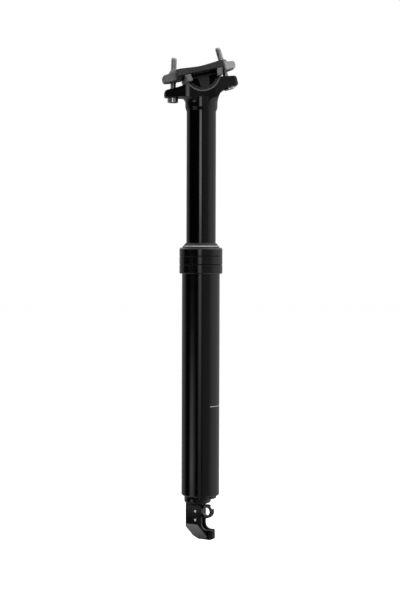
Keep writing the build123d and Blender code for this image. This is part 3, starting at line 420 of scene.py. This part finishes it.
def clamp_coat(name, colour):
    """The clamp's dull coat, and sockets along the rails, above them and to the side."""
    # Painted shade: recess_reach dulls the shine in the clamp's pockets and near corners.
    coat = coated_metal(name, colour, roughness=0.36, unevenness=0.06, grain_size=0.00025,
                        grain_height=0.00002, wear_level=0.3, edge_width=0.0006,
                        recess_reach=0.012)
    tree = coat.node_tree
    spot = piece_spot(tree)
    lift = math_node(tree, "SUBTRACT", spot["Z"], clamp_pivot_height)
    run, climb = math.cos(rail_slope), math.sin(rail_slope)
    along = math_node(tree, "ADD", math_node(tree, "MULTIPLY", spot["X"], run),
                      math_node(tree, "MULTIPLY", lift, climb))
    above = math_node(tree, "SUBTRACT", math_node(tree, "MULTIPLY", lift, run),
                      math_node(tree, "MULTIPLY", spot["X"], climb))
    return coat, along, above, math_node(tree, "ABSOLUTE", spot["Y"])


upper_clamp_coat, along = clamp_coat("upper_clamp_coat", (0.012, 0.012, 0.0122))[:2]
tree = upper_clamp_coat.node_tree
# Painted highlight on each nose of the upper half.
for way, nose_sheen_grey in ((-1.0, front_nose_sheen_grey), (1.0, rear_nose_sheen_grey)):
    reach = math_node(tree, "MULTIPLY", math_node(tree, "SUBTRACT", along, nose_middle), way)
    past_start = math_node(tree, "SUBTRACT", reach, nose_start)
    nose = math_node(tree, "DIVIDE", past_start, nose_fade)
    nose = math_node(tree, "MINIMUM", math_node(tree, "MAXIMUM", nose, 0.0), 1.0)
    pale_where(upper_clamp_coat, nose, nose_sheen_grey)
dress(upper_clamp_coat, "upper_clamp")
lower_clamp_coat, along, above, aside = clamp_coat("lower_clamp_coat", (0.003, 0.003, 0.0031))
tree = lower_clamp_coat.node_tree
far_along = math_node(tree, "GREATER_THAN", math_node(tree, "ABSOLUTE", along), finger_start)
far_aside = math_node(tree, "GREATER_THAN", aside, finger_side)
pale_where(lower_clamp_coat, math_node(tree, "MULTIPLY", far_aside, far_along), finger_grey)
# Painted highlight along the rim of the lower half.
from_pivot = math_node(tree, "SQRT",
                       math_node(tree, "ADD", math_node(tree, "MULTIPLY", along, along),
                                 math_node(tree, "MULTIPLY", above, above)))
rim_highlight = math_node(tree, "GREATER_THAN", from_pivot, rim_radius - rim_width)
pale_where(lower_clamp_coat, rim_highlight, rim_highlight_grey)
dress(lower_clamp_coat, "lower_clamp")

# Barrel nuts: turned from steel bar, cross drilled and tapped, with a dull grey plating. Each
# lies loose in a nose of the upper clamp and turns there as the saddle tilts.
nut_steel = coated_metal("nut_steel", (0.16, 0.16, 0.16), roughness=0.35, unevenness=0.05,
                         grain_size=0.0002, grain_height=0.00001, edge_width=0.0002)
dress(nut_steel, "front_barrel_nut", "rear_barrel_nut")

# Domed washers: turned steel, blackened. Each sits between a bolt's head and the hollow seat
# under its ear of the head, so that the bolt can lean.
black_steel = coated_metal("black_steel", (0.006, 0.006, 0.006), roughness=0.3, unevenness=0.05,
                           grain_size=0.0002, grain_height=0.00001, edge_width=0.0002)
dress(black_steel, "front_dome_washer", "rear_dome_washer")

# Clamp bolts: M5 socket screws of bright zinc-plated steel, with rolled threads. Each stands on a
# domed washer under its ear and goes up through the barrel nut in the upper clamp.
crest_radius = 0.0025
root_radius = 0.00206
groove_sink = 0.0001
thread_pitch = 0.0008
head_radius = 0.0045
head_height = 0.004
head_bevel = 0.0005
hex_half_width = 0.002
hex_depth = 0.0026
bare_neck = 0.0022
round_steps = 48
bare_turns = 1.2
sharp_angle = math.radians(25)
groove_radius = root_radius - groove_sink
thread_profile = ((0.0, groove_radius), (0.35, crest_radius), (0.5, crest_radius),
                  (0.85, groove_radius))
bolt_steel = coated_metal("bolt_steel", (0.5, 0.5, 0.5), roughness=0.25, unevenness=0.06,
                          grain_size=0.0002, grain_height=0.00001, metallic=1.0,
                          wear_level=0.5, wear_colour=(0.25, 0.24, 0.23))


def hex_radius(angle):
    """How far the socket's wall is from the bolt's axis at this angle."""
    sixth = math.pi / 3
    return hex_half_width / math.cos(angle % sixth - sixth / 2)


def bolt_mesh(name, foot, way, shank_length):
    """A socket screw from the middle of its head's free face, foot, along way."""
    turn = Vector((0.0, 0.0, 1.0)).rotation_difference(way).to_matrix()
    points, faces = [], []

    def add(radius, angle, rise):
        around = Vector((radius * math.cos(angle), radius * math.sin(angle), rise))
        points.append(foot + turn @ around)

    tip = head_height + shank_length
    thread_start = head_height + bare_neck
    outline = (
        (None, hex_depth), (None, 0.0), (head_radius - head_bevel, 0.0), (head_radius, head_bevel),
        (head_radius, head_height - head_bevel / 2), (head_radius - head_bevel / 2, head_height),
        (crest_radius, head_height), (crest_radius, thread_start),
        (root_radius, thread_start + thread_pitch / 2), (root_radius, tip - thread_pitch),
        (root_radius - head_bevel / 2, tip),
    )
    for radius, rise in outline:
        for step in range(round_steps):
            angle = 2 * math.pi * step / round_steps
            add(hex_radius(angle) if radius is None else radius, angle, rise)
    for row in range(len(outline) - 1):
        for step in range(round_steps):
            beside = (step + 1) % round_steps
            low, high = row * round_steps, (row + 1) * round_steps
            faces.append((low + step, high + step, high + beside, low + beside))
    last = (len(outline) - 1) * round_steps
    faces.append(tuple(range(round_steps)))
    faces.append(tuple(reversed(range(last, last + round_steps))))
    threaded_length = tip - thread_pitch * bare_turns - thread_start
    steps = int(threaded_length / thread_pitch * round_steps)
    first = len(points)
    for step in range(steps + 1):
        grown = min(1.0, step / round_steps, (steps - step) / round_steps)
        for share, radius in thread_profile:
            rise = thread_start + thread_pitch * (step / round_steps + share)
            add(groove_radius + (radius - groove_radius) * grown,
                2 * math.pi * step / round_steps, rise)
    across = len(thread_profile)
    for step in range(steps):
        for place in range(across - 1):
            low = first + step * across + place
            faces.append((low, low + across, low + across + 1, low + 1))
    mesh = bpy.data.meshes.new(name)
    mesh.from_pydata(points, [], faces)
    mesh.materials.append(bolt_steel)
    mesh.shade_smooth()
    mesh.set_sharp_from_angle(angle=sharp_angle)
    mesh.validate()
    return mesh


# Each bolt's name, CAD piece, body and nut, its lean in degrees, and how far it reaches from the
# nut's middle down to its head and up to its tip.
bolts = (
    ("front_bolt_screw", "front_clamp_bolt", "upper_post",
     (-0.02338, 0.0, 0.166026), 1.6, 0.01935, 0.01425),
    ("rear_bolt_screw", "rear_clamp_bolt", "rear_bolt",
     (0.017527, 0.0, 0.175095), -16.6, 0.01775, 0.01455),
)
for name, node, body, nut_middle, lean, reach_down, reach_up in bolts:
    way = Vector((math.sin(math.radians(lean)), 0.0, math.cos(math.radians(lean))))
    foot = Vector(nut_middle) - way * (reach_down + head_height)
    screw = bpy.data.objects.new(name, bolt_mesh(name, foot, way, reach_down + reach_up))
    scene.collection.objects.link(screw)
    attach(screw, body)
    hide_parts(node)

# Pins, push rod, cartridge rod, valve spring and clip: ground or drawn steel, bright. The pins
# are pressed through the bracket's cheeks, and the push rod stands loose in the base's bore.
bright_steel = coated_metal("bright_steel", (0.5, 0.5, 0.5), roughness=0.2, unevenness=0.04,
                            grain_size=0.0002, grain_height=0.000005, metallic=1.0,
                            wear_level=0.4, wear_colour=(0.5, 0.5, 0.5))
dress(bright_steel, "lever_pivot_pin", "lever_stop_pin", "push_rod",
      "cartridge_rod", "valve_spring", "guide_clip")

# Wiper's wire ring: spring wire bent to a ring and sprung into the groove round the wiper, where
# it presses the lip against the upper tube. Its grey surface is dull.
wire_steel = coated_metal("wire_steel", (0.42, 0.42, 0.42), roughness=0.4, unevenness=0.05,
                          grain_size=0.0002, grain_height=0.00001)
dress(wire_steel, "wiper_wire_ring")

# Wiper, bumper and the cartridge's seals: moulded black rubber, matt, with painted shade dulling
# its folds. The wiper's stem is pressed into the collar, and the seals lie in turned grooves.
rubber = coated_metal("rubber", (0.005, 0.005, 0.005), roughness=0.6, unevenness=0.08,
                      grain_size=0.0002, grain_height=0.00002, recess_reach=0.004)
dress(rubber, "wiper_seal", "top_out_bumper", "cartridge_rod_seal", "cartridge_piston_seal",
      "end_plug_seal")

# Foam ring: open grey foam, cut to a ring and soaked with oil. It lies loose in the collar,
# between the wiper and the upper bushing.
foam = coated_metal("foam", (0.2, 0.2, 0.2), roughness=0.9, unevenness=0.05,
                    grain_size=0.0006, grain_height=0.0001)
dress(foam, "foam_ring")

# Bushings: split sleeves moulded from a dark sliding plastic. One stands on the stop ledge in
# the lower tube, and the other is held on the upper tube's foot by the spring clip.
bushing_plastic = coated_metal("bushing_plastic", (0.08, 0.08, 0.09), roughness=0.5,
                               unevenness=0.05, grain_size=0.0003, grain_height=0.00001)
dress(bushing_plastic, "upper_bushing", "guide_bushing")

# Guide keys: three slim bars of drawn brass in pockets of the upper tube's foot, which slide in
# keyways of the lower tube and keep the saddle straight.
key_brass = coated_metal("key_brass", (0.6, 0.42, 0.15), roughness=0.3, unevenness=0.05,
                         grain_size=0.0003, grain_height=0.00001, metallic=1.0)
dress(key_brass, "guide_keys")

# Cartridge's tube, rod guide, piston, valve body and end plug: turned aluminium, left bare. The
# plug and the guide close the tube's ends, and the piston slides in it with the rod.
turned_aluminium = coated_metal("turned_aluminium", (0.6, 0.6, 0.62), roughness=0.3,
                                unevenness=0.05, grain_size=0.0003, grain_height=0.00001,
                                metallic=1.0)
dress(turned_aluminium, "cartridge_tube", "cartridge_rod_guide", "cartridge_piston",
      "cartridge_valve_body", "end_plug")
